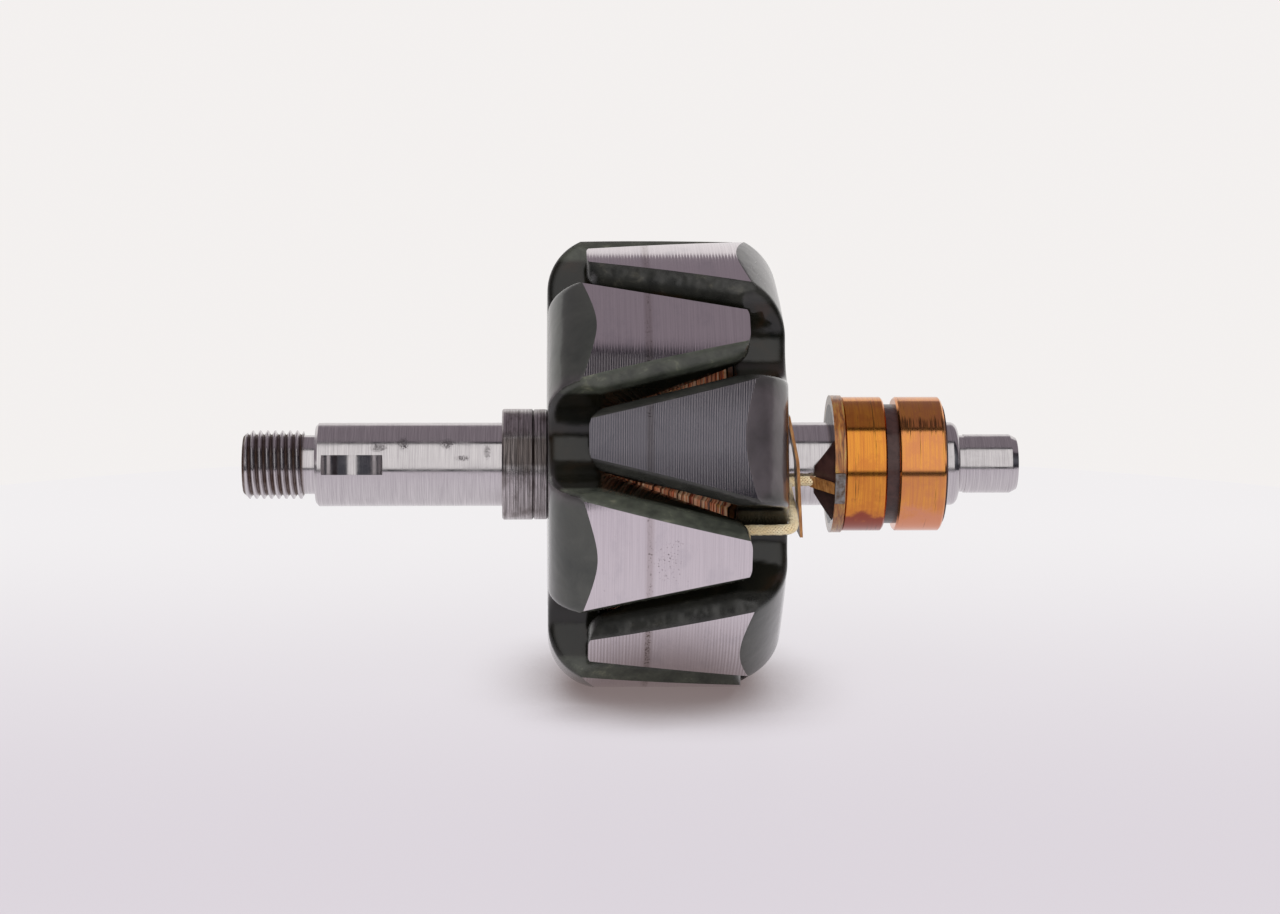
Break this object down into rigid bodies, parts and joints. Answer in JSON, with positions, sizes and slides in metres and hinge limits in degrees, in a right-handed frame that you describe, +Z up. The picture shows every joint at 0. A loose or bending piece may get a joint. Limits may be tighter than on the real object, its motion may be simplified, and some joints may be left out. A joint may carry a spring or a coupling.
{
  "type": "alternator rotor",
  "caption": "Claw-pole rotor of a small vehicle alternator: stepped shaft, interleaved claw pole pieces round a field winding, and copper slip rings.",
  "frame": {"origin": "on the shaft's axis, at the middle of the pole pack", "axes": "+X along the shaft from the threaded drive end to the slip rings, +Z up as the rotor lies on two neighbouring claws, -Y to the picture's camera"},
  "size_m": [0.1576, 0.0908, 0.0908],
  "materials": {
    "turned_steel": "turned, with fine tool lines and light scuffs",
    "forged_steel": "forged and varnished dark, turned bright on the pole faces",
    "enamelled_copper": "glossy red-brown wire enamel under varnish",
    "moulded_insulation": "dark brown moulding",
    "laminated_flange": "amber varnished laminate",
    "ring_copper": "turned copper, tarnished in streaks",
    "glass_sleeve": "braided glass sleeve soaked in varnish",
    "varnished_lead": "flattened lead, stiff with varnish",
    "varnished_paper": "fibrous strip soaked in amber varnish",
    "solder": "dull grey solder"
  },
  "bodies": {
    "root": {"shaft": "turned_steel", "front_spacer_collar": "turned_steel", "front_thrust_washer": "turned_steel", "drive_end_pole_piece": "forged_steel", "slip_ring_end_pole_piece": "forged_steel", "pole_core": "forged_steel", "coil_bobbin": "moulded_insulation", "field_winding": "enamelled_copper", "inner_ring_lead_sleeve": "glass_sleeve", "outer_ring_lead_sleeve": "glass_sleeve", "inner_ring_lead_end": "varnished_lead", "outer_ring_lead_end": "varnished_lead", "inner_lead_retaining_strip": "varnished_paper", "outer_lead_retaining_strip": "varnished_paper", "slip_ring_insulator": "moulded_insulation", "insulator_flange": "laminated_flange", "inner_ring_solder_tab": "solder", "outer_ring_solder_tab": "solder", "inner_slip_ring": "ring_copper", "outer_slip_ring": "ring_copper"}
  },
  "joints": []
}
